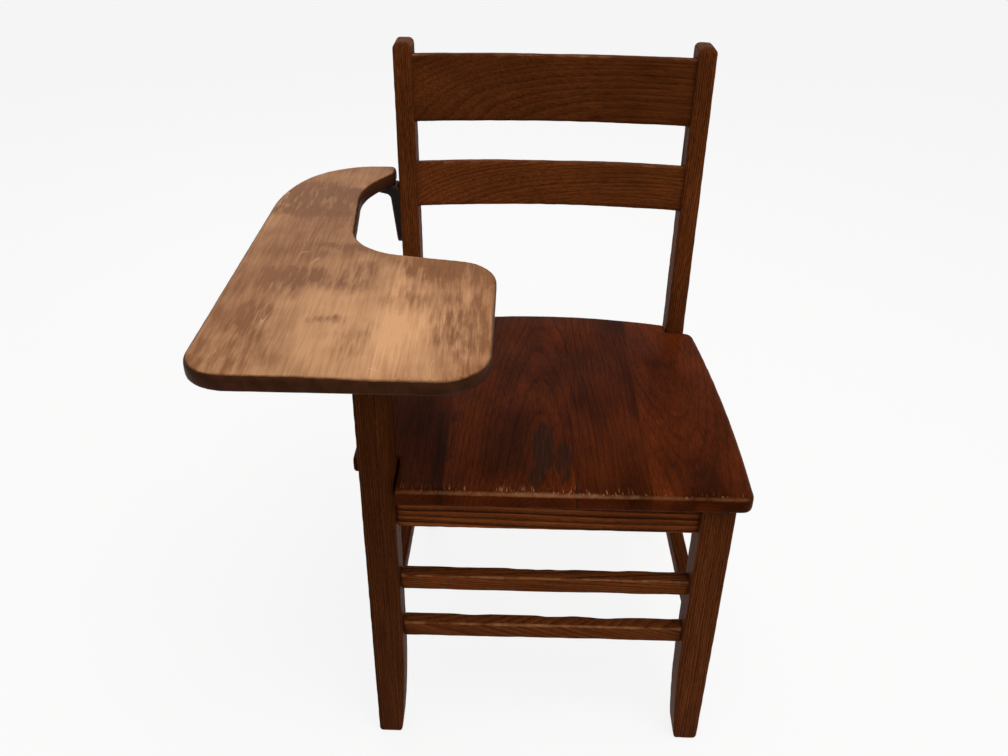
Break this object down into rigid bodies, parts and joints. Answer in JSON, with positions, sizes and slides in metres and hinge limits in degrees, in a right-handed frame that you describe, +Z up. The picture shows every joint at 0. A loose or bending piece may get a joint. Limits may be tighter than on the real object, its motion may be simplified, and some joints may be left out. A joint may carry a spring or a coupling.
{
  "type": "tablet arm chair",
  "caption": "Oak side chair with a fixed writing tablet on an extended front leg, slatted raked back, dished seat, aprons and stretchers.",
  "frame": {"origin": "on the floor, under the middle of the chair's bounding box", "axes": "+Z up; the sitter faces -Y; the writing tablet is at -X, on the sitter's right hand"},
  "size_m": [0.597, 0.612, 0.8458],
  "materials": {
    "stained_oak": "dark red-brown stain under worn satin varnish",
    "seat_oak": "dark red-brown stain under glossy worn varnish",
    "tablet_wood": "light brown, worn and scratched satin varnish",
    "raw_oak": "unfinished sawn oak",
    "black_iron": "black japanned casting",
    "screw_steel": "darkened steel"
  },
  "bodies": {
    "root": {"arm_post": "stained_oak", "front_leg": "stained_oak", "back_post_left": "stained_oak", "back_post_right": "stained_oak", "front_apron": "stained_oak", "rear_apron": "stained_oak", "side_apron_left": "stained_oak", "side_apron_right": "stained_oak", "upper_front_stretcher": "stained_oak", "lower_front_stretcher": "stained_oak", "rear_stretcher": "stained_oak", "side_stretcher_left": "stained_oak", "side_stretcher_right": "stained_oak", "top_slat": "stained_oak", "lower_slat": "stained_oak", "seat_board_1": "seat_oak", "seat_board_2": "seat_oak", "seat_board_3": "seat_oak", "seat_board_4": "seat_oak", "tablet_board_1": "tablet_wood", "tablet_board_2": "tablet_wood", "tablet_board_3": "tablet_wood", "corner_block_front_left": "raw_oak", "corner_block_front_right": "raw_oak", "corner_block_rear_left": "raw_oak", "corner_block_rear_right": "raw_oak", "tail_bracket": "black_iron", "arm_post_bracket": "black_iron", "block_screws": "screw_steel", "seat_screws": "screw_steel", "tail_bracket_screws": "screw_steel", "arm_post_bracket_screws": "screw_steel"}
  },
  "joints": []
}
